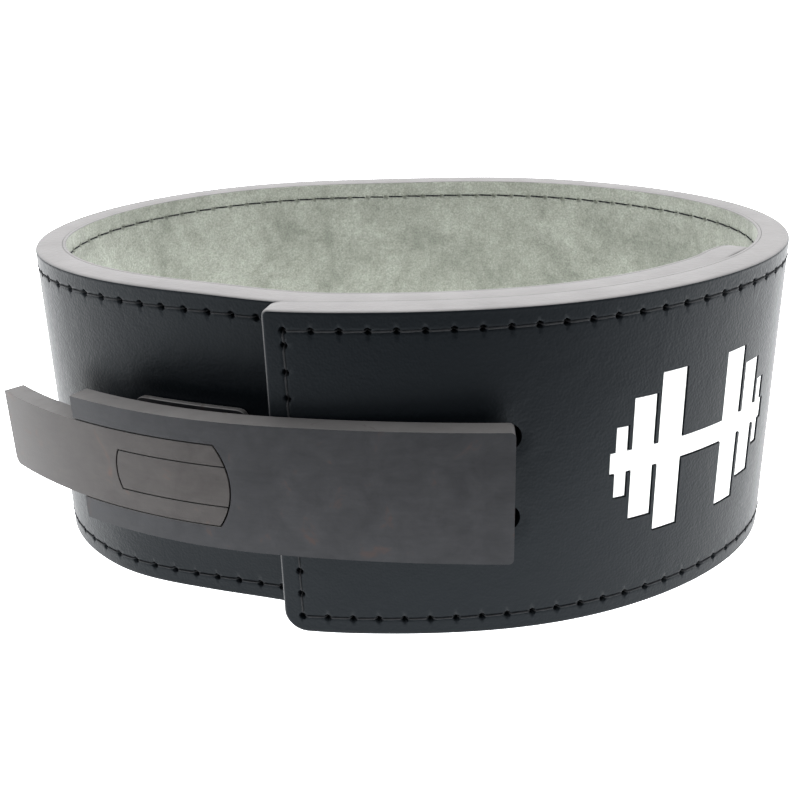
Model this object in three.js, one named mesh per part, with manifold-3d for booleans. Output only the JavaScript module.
// A weightlifting belt closed by a steel lever buckle, standing on its lower edge.
// Millimetres, +Z up, the buckle in front faces -Y, its handle points to -X.
// The strap goes once round the waist and laps over itself behind the buckle.
// s is the distance along the strap's outer face from the free end that shows; depth is measured
// inwards from that face. u is the distance along the buckle's front face from the same free end.

import * as THREE from "three";
import { mergeVertices } from "three/addons/utils/BufferGeometryUtils.js";
import Module from "manifold-3d";

// Strap
const STRAP_WIDTH = 100;
const STRAP_THICKNESS = 9.7;
const LINING_THICKNESS = 1.2;
const GLUE_GAP = 0.3; // between the lining and the leather it is glued to
const EDGE_BEVEL = 1.2;
const END_TOP_RADIUS = 2; // of the corners of both ends
const END_FOOT_RADIUS = 7;

// Ring: the mean radius of the outer face, and the waves that make the circle an oval
const RING_RADIUS = 104;
const RING_WAVES = [
  // height is a share of the ring radius, crest an angle in degrees
  { waves: 2, height: 0.166, crest: -3 },
  { waves: 3, height: 0.008, crest: 20 },
  { waves: 4, height: 0.014, crest: -5 },
  { waves: 5, height: 0.004, crest: -11 },
  { waves: 6, height: 0.006, crest: 0 },
];

// Lap: where the two ends lie and how the strap's under end moves inwards to pass below the free end
const FREE_END_ANGLE = -115;
const UNDER_END_ANGLE = 342.5;
const LAP_GAP = 0.5;
const STEP_IN = { from: -70, to: -7 }; // degrees from below the free end
const FREE_END_SPRING = 0.3; // the free end stands off the layer below it
const SPRING_SPAN = 20; // degrees
const TAIL_GAP = 0.8; // the stiff under end bridges the curve before its tip
const TAIL_SPAN = 17; // degrees
const UNDER_END_DROP = 1.1; // the under end is trimmed this much lower
const DROP_OVER = { from: -20, to: 10 }; // degrees from below the free end
const LEANS = [
  // how far the lower edge stands inwards of the upper one, as a share of the strap's width;
  // from and to are angles in degrees round the ring
  { from: 205, to: 240, inwards: 0.034 },
  { from: 120, to: 165, inwards: -0.014 },
  { from: 205, to: 225, inwards: 0.014 },
];

// Buckle, as it lies closed
const PLATE_THICKNESS = 6.4;
const PLATE_HEIGHT = 39.5;
const PLATE_BEVEL = 0.5;
const PLATE_CORNER_RADIUS = 1.5;
const HOOK_END = 68; // from the free end of the strap to the plate's hooked end
const HOOK_SIDE_RADIUS = 390; // of the plate's front face, from the free end to the hooks
const LEVER_SIDE_RADIUS = 167; // and to the handle
const SEAT_GAP = 0.4; // between the plate's back and the free end
const SEAT_TURN = 1.6; // degrees that the plate is turned from the strap there, hooks inwards
const RUNNING_GAP = 0.3; // round the lever, the block and the pins
const LEVER_HEIGHT = 24.8;
const LEVER_NOSE = 10.5; // from the free end to the tip of the lever's rounded nose
const LEVER_NOSE_RADIUS = 21.5;
const BLOCK_HEIGHT = 12;
const BLOCK_LENGTH = 37; // from the tip of the nose
const BLOCK_END_RADIUS = 15;
const PIN_RADIUS = 1.5;
const PIVOT_PIN_SETBACK = 11.5; // from the tip of the nose
const ARM_PIN_PAST_BLOCK = 5.5;
const ARM_PIN_SHY = 1.5; // how far the arm pin's ends stay inside the plate's edges
const ARM_PAST_PIN = 10; // from the arm pin to the ends of the plate's two arms
const HANDLE_LENGTH = 37; // past the arms
const HANDLE_CORNER_RADIUS = 2.5; // of the lower corner

// Hooks and the holes they go into
const HOOK_SPACING = 25;
const HOOK_HEIGHT = 5;
const HOOK_WIDTH = 4.5;
const HOOK_TOE = 1.5;
const HOOK_TIP_SHY = 2.5; // how far the hook's tip stays short of the strap's inner face
const HOOK_CLEARANCE = 1.2; // all round a hook in its hole

// Base plate under the buckle and the two screws that hold it
const BASE_THICKNESS = 2;
const BASE_HEIGHT = 32;
const BASE_LENGTH = 37;
const BASE_GAP = 0.3;
const BASE_CORNER_RADIUS = 3;
const SCREW_RADIUS = 2.5;
const SCREW_HEAD_RADIUS = 6;
const SCREW_HEAD_THICKNESS = 1.6;
const SCREW_HEAD_GAP = 0.5; // a flat head on the hollow curve of the lining
const SCREW_SPACING = 22;

// Emblem: a plain barbell, let into the free layer
const EMBLEM_AT = 130;
const EMBLEM_HEIGHT = 50;
const EMBLEM_LENGTH = 68;
const EMBLEM_THICKNESS = 0.6;
const EMBLEM_SUNK = 0.5; // its face lies this far below the leather
const EMBLEM_GAP = 0.3;
const EMBLEM_BARS = [
  // from and to are shares of the length from its middle, tall a share of the height
  { from: -0.5, to: 0.5, tall: 0.13 },
  { from: 0.13, to: 0.26, tall: 1 },
  { from: 0.285, to: 0.395, tall: 0.76 },
  { from: 0.42, to: 0.475, tall: 0.44 },
  { from: -0.26, to: -0.13, tall: 1 },
  { from: -0.395, to: -0.285, tall: 0.76 },
  { from: -0.475, to: -0.42, tall: 0.44 },
];

// How finely curves are cut
const STATION_STEP = 7; // length of strap between two sections
const BUCKLE_STEP = 4;
const HOLE_STEP = 2;
const CORNER_STEPS = 5;
const NOSE_STEPS = 8;
const BLOCK_END_STEPS = 4;
const ROUND_SIDES = 16;
const LINE_DIVISIONS = 3000;
const CUT_PAST = 1; // how far a cutting solid runs past the face it cuts

const MIDDLE = STRAP_WIDTH / 2;
const LAYER_STEP = STRAP_THICKNESS + LAP_GAP;
const BELOW_FREE_END = FREE_END_ANGLE + 360;
const PIVOT_PIN_AT = LEVER_NOSE + PIVOT_PIN_SETBACK;
const ARM_PIN_AT = LEVER_NOSE + BLOCK_LENGTH + ARM_PIN_PAST_BLOCK;
const ARM_END = ARM_PIN_AT + ARM_PAST_PIN;
const HANDLE_END = ARM_END + HANDLE_LENGTH;
const HOOK_REACH = HOOK_WIDTH + HOOK_TOE;
const HOOK_MIDDLE = HOOK_END - HOOK_REACH / 2;
const HOOK_HOLE_RADIUS = Math.hypot(HOOK_REACH, HOOK_HEIGHT) / 2 + HOOK_CLEARANCE;

const wasm = await Module();
wasm.setup();

// Closed meshes, and manifold solids made from them

function toSolid(geometry) {
  const bare = geometry.index ? geometry : geometry.clone();
  bare.deleteAttribute("normal");
  bare.deleteAttribute("uv");
  const merged = mergeVertices(bare, 1e-4);
  return new wasm.Manifold(
    new wasm.Mesh({
      numProp: 3,
      vertProperties: new Float32Array(merged.attributes.position.array),
      triVerts: new Uint32Array(merged.index.array),
    }),
  );
}

function toGeometry(solid) {
  const mesh = solid.getMesh();
  const geometry = new THREE.BufferGeometry();
  geometry.setAttribute(
    "position",
    new THREE.BufferAttribute(mesh.vertProperties, 3),
  );
  geometry.setIndex(new THREE.BufferAttribute(mesh.triVerts, 1));
  geometry.computeVertexNormals();
  return geometry;
}

// A closed skin over a row of sections with equally many points, the first and last closed by fans.
function loft(sections) {
  const count = sections[0].length;
  const positions = sections.flat().flatMap((p) => [p.x, p.y, p.z]);
  const faces = [];
  for (let i = 1; i < sections.length; i++) {
    for (let j = 0; j < count; j++) {
      const a = (i - 1) * count + j;
      const b = (i - 1) * count + ((j + 1) % count);
      faces.push(a, b, b + count, a, b + count, a + count);
    }
  }
  const last = (sections.length - 1) * count;
  for (let j = 2; j < count; j++) {
    faces.push(0, j, j - 1);
    faces.push(last, last + j - 1, last + j);
  }
  const geometry = new THREE.BufferGeometry();
  geometry.setAttribute(
    "position",
    new THREE.Float32BufferAttribute(positions, 3),
  );
  geometry.setIndex(faces);
  return toSolid(geometry);
}

// A bent slab: at each station it fills from low to high, between two depths, with bevelled edges.
// place turns a distance along, a depth and a height into a point.
function slab(place, stations, depths, bevels = { front: 0, back: 0 }) {
  const [front, back] = depths;
  const section = ({ at, low, high }) => {
    const corners = [
      [front, low + bevels.front],
      [front + bevels.front, low],
      [back - bevels.back, low],
      [back, low + bevels.back],
      [back, high - bevels.back],
      [back - bevels.back, high],
      [front + bevels.front, high],
      [front, high - bevels.front],
    ];
    const distinct = corners.filter(
      ([d, z], i) =>
        i === 0 || d !== corners[i - 1][0] || z !== corners[i - 1][1],
    );
    return distinct.map(([depth, z]) => place(at, depth, z));
  };
  return loft(stations.map(section));
}

// Stations from one distance to another, close enough for the bend.
function evenStations(from, to, low, high, step = STATION_STEP) {
  const count = Math.max(1, Math.ceil(Math.abs(to - from) / step));
  return Array.from({ length: count + 1 }, (_, i) => ({
    at: THREE.MathUtils.lerp(from, to, i / count),
    low,
    high,
  }));
}

// How much a rounded corner takes off the height at a distance from the end.
function cornerCut(distance, radius) {
  const inside = Math.max(0, radius - distance);
  return radius - Math.sqrt(radius * radius - inside * inside);
}

// Stations from one end to the other, closer together at each end that has rounded corners.
// corners is { foot, top } for the lower and the upper corner of an end, or null for a square end.
function roundedStations(from, to, low, high, corners, step = STATION_STEP) {
  const [first, last] = corners;
  const turns = Array.from({ length: CORNER_STEPS + 1 }, (_, i) =>
    1 - Math.cos((Math.PI / 2) * (i / CORNER_STEPS)),
  );
  const reaches = ({ foot, top }) => {
    const all = [foot, top].flatMap((radius) => turns.map((x) => x * radius));
    return [...new Set(all)].sort((a, b) => a - b);
  };
  const firstReach = first ? reaches(first) : [0];
  const lastReach = last ? reaches(last) : [0];
  const places = [
    ...firstReach.map((x) => from + x),
    ...evenStations(
      from + firstReach.at(-1),
      to - lastReach.at(-1),
      low,
      high,
      step,
    )
      .slice(1, -1)
      .map((row) => row.at),
    ...lastReach.map((x) => to - x).reverse(),
  ];
  const cut = (at, corner) =>
    Math.max(
      first ? cornerCut(at - from, first[corner]) : 0,
      last ? cornerCut(to - at, last[corner]) : 0,
    );
  return places.map((at) => ({
    at,
    low: low + cut(at, "foot"),
    high: high - cut(at, "top"),
  }));
}

// A round bar or hole from one point to another.
function roundBar(from, to, radius) {
  const along = to.clone().sub(from);
  const geometry = new THREE.CylinderGeometry(
    radius,
    radius,
    along.length(),
    ROUND_SIDES,
  );
  geometry.applyQuaternion(
    new THREE.Quaternion().setFromUnitVectors(
      new THREE.Vector3(0, 1, 0),
      along.clone().normalize(),
    ),
  );
  const middle = from.clone().add(to).multiplyScalar(0.5);
  geometry.translate(middle.x, middle.y, middle.z);
  return toSolid(geometry);
}

// The strap's line

const radians = THREE.MathUtils.degToRad;
const ease = (angle, { from, to }) => THREE.MathUtils.smoothstep(angle, from, to);
const easeBelowFreeEnd = (angle, range) => ease(angle - BELOW_FREE_END, range);

// The ring's outer face at an angle in degrees, with its outward normal, both in plan.
function ringAt(angle) {
  const a = radians(angle);
  let radius = RING_RADIUS;
  let slope = 0;
  for (const { waves, height, crest } of RING_WAVES) {
    const turn = waves * (a - radians(crest));
    radius += RING_RADIUS * height * Math.cos(turn);
    slope -= RING_RADIUS * height * waves * Math.sin(turn);
  }
  const point = new THREE.Vector2(radius * Math.cos(a), radius * Math.sin(a));
  const normal = new THREE.Vector2(
    slope * Math.sin(a) + radius * Math.cos(a),
    radius * Math.sin(a) - slope * Math.cos(a),
  ).normalize();
  return { point, normal };
}

// How far the strap's outer face lies inside the ring.
function layerShift(angle) {
  const free = { from: FREE_END_ANGLE, to: FREE_END_ANGLE + SPRING_SPAN };
  const tail = { from: UNDER_END_ANGLE - TAIL_SPAN, to: UNDER_END_ANGLE };
  return (
    LAYER_STEP * easeBelowFreeEnd(angle, STEP_IN) -
    FREE_END_SPRING * (1 - ease(angle, free)) +
    TAIL_GAP * Math.sin(Math.PI * ease(angle, tail))
  );
}

function lean(angle, z) {
  const share = LEANS.reduce((sum, row) => sum + row.inwards * ease(angle, row), 0);
  return share * (STRAP_WIDTH - z);
}

class StrapLine extends THREE.Curve {
  getPoint(t, target = new THREE.Vector3()) {
    const angle = THREE.MathUtils.lerp(FREE_END_ANGLE, UNDER_END_ANGLE, t);
    const { point, normal } = ringAt(angle);
    const shift = layerShift(angle);
    return target.set(
      point.x - normal.x * shift,
      point.y - normal.y * shift,
      0,
    );
  }
}

const strapLine = new StrapLine();
strapLine.arcLengthDivisions = LINE_DIVISIONS;
const STRAP_LENGTH = strapLine.getLength();

function angleAt(s) {
  const t = strapLine.getUtoTmapping(0, s);
  return THREE.MathUtils.lerp(FREE_END_ANGLE, UNDER_END_ANGLE, t);
}

// The distance along the strap of an angle on its line.
function distanceTo(angle) {
  const t = (angle - FREE_END_ANGLE) / (UNDER_END_ANGLE - FREE_END_ANGLE);
  const lengths = strapLine.getLengths();
  return lengths[Math.round(t * (lengths.length - 1))];
}

function onStrap(s, depth, z) {
  const angle = angleAt(s);
  const { point, normal } = ringAt(angle);
  const inwards = layerShift(angle) + lean(angle, z) + depth;
  return new THREE.Vector3(
    point.x - normal.x * inwards,
    point.y - normal.y * inwards,
    z,
  );
}

// The direction straight into the strap at mid height.
function inwardsAt(s) {
  const along = onStrap(s + 1, 0, MIDDLE).sub(onStrap(s - 1, 0, MIDDLE));
  const up = onStrap(s, 0, MIDDLE + 1).sub(onStrap(s, 0, MIDDLE - 1));
  return up.cross(along).normalize();
}

// A point at a depth straight below the outer face at mid height.
function belowFace(s, depth) {
  return onStrap(s, 0, MIDDLE).addScaledVector(inwardsAt(s), depth);
}

// The buckle's line: its front face in plan is two arcs that meet over the strap's free end

const seat = onStrap(0, -(SEAT_GAP + PLATE_THICKNESS), MIDDLE);
const seatNormal = ringAt(FREE_END_ANGLE).normal.rotateAround(
  new THREE.Vector2(0, 0),
  radians(SEAT_TURN),
);
const seatAngle = Math.atan2(seatNormal.y, seatNormal.x);

function onBuckle(u, depth, z) {
  const radius = u > 0 ? HOOK_SIDE_RADIUS : LEVER_SIDE_RADIUS;
  const angle = seatAngle + u / radius;
  const reach = radius - depth;
  return new THREE.Vector3(
    seat.x - radius * seatNormal.x + reach * Math.cos(angle),
    seat.y - radius * seatNormal.y + reach * Math.sin(angle),
    z,
  );
}

// Pieces

const hookHeights = [-0.5, 0.5].map((side) => MIDDLE + side * HOOK_SPACING);

// How deep the strap's inner face lies below the buckle's front face at the hooks.
function depthUnderHooks() {
  const hookFoot = onBuckle(HOOK_MIDDLE, 0, MIDDLE);
  const inwards = onBuckle(HOOK_MIDDLE, 1, MIDDLE).sub(hookFoot);
  let nearest = Infinity;
  let depth = 0;
  for (let s = 0; s < 2 * HOOK_END; s += HOLE_STEP / 4) {
    const face = onStrap(s, STRAP_THICKNESS, MIDDLE).sub(hookFoot);
    const along = face.dot(inwards);
    const aside = face.addScaledVector(inwards, -along).length();
    if (aside < nearest) {
      nearest = aside;
      depth = along;
    }
  }
  return depth;
}
const STRAP_INNER_DEPTH = depthUnderHooks();

// Bars through the free layer where the hooks are, cut off before the layer below it.
function hookHoles() {
  const reach = STRAP_INNER_DEPTH + STRAP_THICKNESS;
  const bars = hookHeights.map((z) =>
    roundBar(
      onBuckle(HOOK_MIDDLE, 0, z),
      onBuckle(HOOK_MIDDLE, reach, z),
      HOOK_HOLE_RADIUS,
    ),
  );
  const from = HOOK_END - 3 * HOOK_HOLE_RADIUS;
  const to = HOOK_END + 3 * HOOK_HOLE_RADIUS;
  const layer = slab(
    onStrap,
    evenStations(from, to, -CUT_PAST, STRAP_WIDTH + CUT_PAST, HOLE_STEP),
    [-CUT_PAST, STRAP_THICKNESS + LAP_GAP / 2],
  );
  return wasm.Manifold.union(bars).intersect(layer);
}

const baseMiddle = distanceTo(BELOW_FREE_END) - LEVER_NOSE - BLOCK_LENGTH / 2;
const screwPlaces = [-0.5, 0.5].map((side) => baseMiddle + side * SCREW_SPACING);

function screwHoles(radius) {
  return wasm.Manifold.union(
    screwPlaces.map((s) =>
      roundBar(
        belowFace(s, -STRAP_THICKNESS),
        belowFace(s, 2 * STRAP_THICKNESS),
        radius,
      ),
    ),
  );
}

function emblemSolid(depths, clearance) {
  const bars = EMBLEM_BARS.map(({ from, to, tall }) =>
    slab(
      onStrap,
      evenStations(
        EMBLEM_AT + from * EMBLEM_LENGTH - clearance,
        EMBLEM_AT + to * EMBLEM_LENGTH + clearance,
        MIDDLE - (tall * EMBLEM_HEIGHT) / 2 - clearance,
        MIDDLE + (tall * EMBLEM_HEIGHT) / 2 + clearance,
      ),
      depths,
    ),
  );
  return wasm.Manifold.union(bars);
}

// The strap and its lining have one outline.
function strapStations() {
  const corners = { foot: END_FOOT_RADIUS, top: END_TOP_RADIUS };
  const ends = [corners, corners];
  return roundedStations(0, STRAP_LENGTH, 0, STRAP_WIDTH, ends).map((row) => ({
    ...row,
    high: row.high - UNDER_END_DROP * easeBelowFreeEnd(angleAt(row.at), DROP_OVER),
  }));
}

function strap() {
  const depth = STRAP_THICKNESS - LINING_THICKNESS - GLUE_GAP;
  const recess = EMBLEM_SUNK + EMBLEM_THICKNESS + EMBLEM_GAP;
  return slab(
    onStrap,
    strapStations(),
    [0, depth],
    { front: EDGE_BEVEL, back: 0 },
  )
    .subtract(hookHoles())
    .subtract(screwHoles(SCREW_RADIUS + RUNNING_GAP))
    .subtract(emblemSolid([-CUT_PAST, recess], EMBLEM_GAP));
}

function suedeLining() {
  return slab(
    onStrap,
    strapStations(),
    [STRAP_THICKNESS - LINING_THICKNESS, STRAP_THICKNESS],
    { front: 0, back: LINING_THICKNESS / 2 },
  )
    .subtract(hookHoles())
    .subtract(screwHoles(SCREW_RADIUS + RUNNING_GAP));
}

function emblem() {
  return emblemSolid([EMBLEM_SUNK, EMBLEM_SUNK + EMBLEM_THICKNESS], 0);
}

// Stations that follow an arc from where it is 2 x half high up to its tip.
function arcStations(tip, half, radius, steps) {
  const widest = Math.asin(half / radius);
  return Array.from({ length: steps }, (_, i) => {
    const turn = (widest * (steps - i)) / steps;
    const height = radius * Math.sin(turn);
    return {
      at: tip - radius * (1 - Math.cos(turn)),
      low: MIDDLE - height,
      high: MIDDLE + height,
    };
  });
}

// The lever's outline grown by a clearance; the hook plate's pocket is the same shape.
function leverShape(depths, clearance, bevels) {
  const half = LEVER_HEIGHT / 2 + clearance;
  const handle = { foot: HANDLE_CORNER_RADIUS, top: PLATE_BEVEL };
  const nose = arcStations(
    clearance - LEVER_NOSE,
    half,
    LEVER_NOSE_RADIUS + clearance,
    NOSE_STEPS,
  );
  const stations = roundedStations(
    -HANDLE_END,
    nose[0].at,
    MIDDLE - half,
    MIDDLE + half,
    [handle, null],
    BUCKLE_STEP,
  );
  return slab(onBuckle, [...stations, ...nose.slice(1)], depths, bevels);
}

// The outline of the block that the lever's two tines straddle, grown by a clearance. It runs on
// past the lever's nose.
function blockShape(depths, clearance) {
  const half = BLOCK_HEIGHT / 2 + clearance;
  const bulge = arcStations(
    LEVER_NOSE + BLOCK_LENGTH + clearance,
    half,
    BLOCK_END_RADIUS + clearance,
    BLOCK_END_STEPS,
  ).map((row) => ({ ...row, at: -row.at }));
  const stations = evenStations(bulge[0].at, 0, MIDDLE - half, MIDDLE + half, BUCKLE_STEP);
  return slab(onBuckle, [...bulge.slice(1).reverse(), ...stations], depths);
}

function crossPin(u, halfLength, radius) {
  const depth = PLATE_THICKNESS / 2;
  return roundBar(
    onBuckle(u, depth, MIDDLE - halfLength),
    onBuckle(u, depth, MIDDLE + halfLength),
    radius,
  );
}

const pinBore = (u, halfLength) =>
  crossPin(u, halfLength + RUNNING_GAP, PIN_RADIUS + RUNNING_GAP);
const pivotPinHalf = LEVER_HEIGHT / 2 - 2 * RUNNING_GAP;
const armPinHalf = PLATE_HEIGHT / 2 - ARM_PIN_SHY;
const pivotPin = () => crossPin(-PIVOT_PIN_AT, pivotPinHalf, PIN_RADIUS);
const armPin = () => crossPin(-ARM_PIN_AT, armPinHalf, PIN_RADIUS);
const pivotBore = () => pinBore(-PIVOT_PIN_AT, pivotPinHalf);
const armBore = () => pinBore(-ARM_PIN_AT, armPinHalf);

const throughPlate = [-CUT_PAST, PLATE_THICKNESS + CUT_PAST];
const plateBevels = { front: PLATE_BEVEL, back: PLATE_BEVEL };

function lever() {
  return leverShape([0, PLATE_THICKNESS], 0, plateBevels)
    .subtract(blockShape(throughPlate, RUNNING_GAP))
    .subtract(pivotBore())
    .subtract(armBore());
}

// A hook in the plane along u and depth, extruded up its height.
function hook(z) {
  const tip = STRAP_INNER_DEPTH - HOOK_TIP_SHY;
  const outline = [
    [HOOK_END - HOOK_WIDTH, PLATE_THICKNESS / 2],
    [HOOK_END - HOOK_WIDTH, tip - 2 * HOOK_TOE],
    [HOOK_END - HOOK_REACH, tip - HOOK_TOE],
    [HOOK_END - HOOK_REACH, tip],
    [HOOK_END - HOOK_TOE, tip],
    [HOOK_END, tip - HOOK_TOE],
    [HOOK_END, PLATE_THICKNESS / 2],
  ];
  const foot = onBuckle(HOOK_END, 0, 0);
  const inwards = onBuckle(HOOK_END, 1, 0).sub(foot);
  const along = new THREE.Vector3(inwards.y, -inwards.x, 0);
  const shape = new THREE.Shape(
    outline.map(([u, depth]) => new THREE.Vector2(u - HOOK_END, depth)),
  );
  const geometry = new THREE.ExtrudeGeometry(shape, {
    depth: HOOK_HEIGHT,
    bevelEnabled: false,
  });
  geometry.translate(0, 0, z - HOOK_HEIGHT / 2);
  geometry.applyMatrix4(
    new THREE.Matrix4()
      .makeBasis(along, inwards, new THREE.Vector3(0, 0, 1))
      .setPosition(foot),
  );
  return toSolid(geometry);
}

function hookPlate() {
  const corner = { foot: PLATE_CORNER_RADIUS, top: PLATE_CORNER_RADIUS };
  const stations = roundedStations(
    -ARM_END,
    HOOK_END,
    MIDDLE - PLATE_HEIGHT / 2,
    MIDDLE + PLATE_HEIGHT / 2,
    [null, corner],
    BUCKLE_STEP,
  );
  const plate = slab(onBuckle, stations, [0, PLATE_THICKNESS], plateBevels);
  return wasm.Manifold.union([plate, ...hookHeights.map(hook)])
    .subtract(leverShape(throughPlate, RUNNING_GAP))
    .subtract(armBore());
}

function basePlate() {
  const corner = { foot: BASE_CORNER_RADIUS, top: BASE_CORNER_RADIUS };
  const stations = roundedStations(
    baseMiddle - BASE_LENGTH / 2,
    baseMiddle + BASE_LENGTH / 2,
    MIDDLE - BASE_HEIGHT / 2,
    MIDDLE + BASE_HEIGHT / 2,
    [corner, corner],
    BUCKLE_STEP,
  );
  return slab(onStrap, stations, [-BASE_GAP - BASE_THICKNESS, -BASE_GAP]).subtract(
    screwHoles(SCREW_RADIUS + RUNNING_GAP),
  );
}

// The block stands on the base plate, comes up flush with the lever's face and ends with its nose.
function pivotBlock() {
  const reach = [0, 2 * LAYER_STEP + PLATE_THICKNESS];
  const under = slab(
    onStrap,
    evenStations(
      baseMiddle - BLOCK_LENGTH,
      baseMiddle + BLOCK_LENGTH,
      0,
      STRAP_WIDTH,
      BUCKLE_STEP,
    ),
    [-2 * BASE_GAP - BASE_THICKNESS, reach[1]],
  );
  return blockShape(reach, 0)
    .intersect(leverShape([-CUT_PAST, reach[1] + CUT_PAST], 0))
    .subtract(under)
    .subtract(pivotBore());
}

function screw(s) {
  const at = (depth) => belowFace(s, depth);
  const headTop = STRAP_THICKNESS + SCREW_HEAD_GAP;
  const shank = roundBar(
    at(-BASE_GAP - BASE_THICKNESS),
    at(headTop + SCREW_HEAD_THICKNESS / 2),
    SCREW_RADIUS,
  );
  const head = roundBar(
    at(headTop),
    at(headTop + SCREW_HEAD_THICKNESS),
    SCREW_HEAD_RADIUS,
  );
  return shank.add(head);
}

// Materials

const blackLeather = new THREE.MeshStandardMaterial({
  color: 0x17191c,
  roughness: 0.5,
  metalness: 0,
});
const suede = new THREE.MeshStandardMaterial({
  color: 0x7f857c,
  roughness: 0.95,
  metalness: 0,
});
const coatedSteel = new THREE.MeshStandardMaterial({
  color: 0x4e4d4e,
  roughness: 0.45,
  metalness: 0.6,
});
const handleSteel = new THREE.MeshStandardMaterial({
  color: 0x5c5856,
  roughness: 0.45,
  metalness: 0.6,
});
const whiteFoil = new THREE.MeshStandardMaterial({
  color: 0xf2f2f0,
  roughness: 0.6,
  metalness: 0,
});

// Assembly: the origin is on the floor, below the middle of the whole belt

const pieces = [
  ["strap", strap(), blackLeather],
  ["suede_lining", suedeLining(), suede],
  ["emblem", emblem(), whiteFoil],
  ["base_plate", basePlate(), coatedSteel],
  ["pivot_block", pivotBlock(), handleSteel],
  ["lever", lever(), handleSteel],
  ["hook_plate", hookPlate(), coatedSteel],
  ["pivot_pin", pivotPin(), coatedSteel],
  ["arm_pin", armPin(), coatedSteel],
  ...screwPlaces.map((s, i) => ["base_screw_" + (i + 1), screw(s), coatedSteel]),
];

const belt = new THREE.Group();
for (const [name, solid, material] of pieces) {
  const mesh = new THREE.Mesh(toGeometry(solid), material);
  mesh.name = name;
  belt.add(mesh);
}
const box = new THREE.Box3().setFromObject(belt);
const middle = box.getCenter(new THREE.Vector3());
belt.position.set(-middle.x, -middle.y, -box.min.z);

const part = new THREE.Group();
part.add(belt);

export default part;
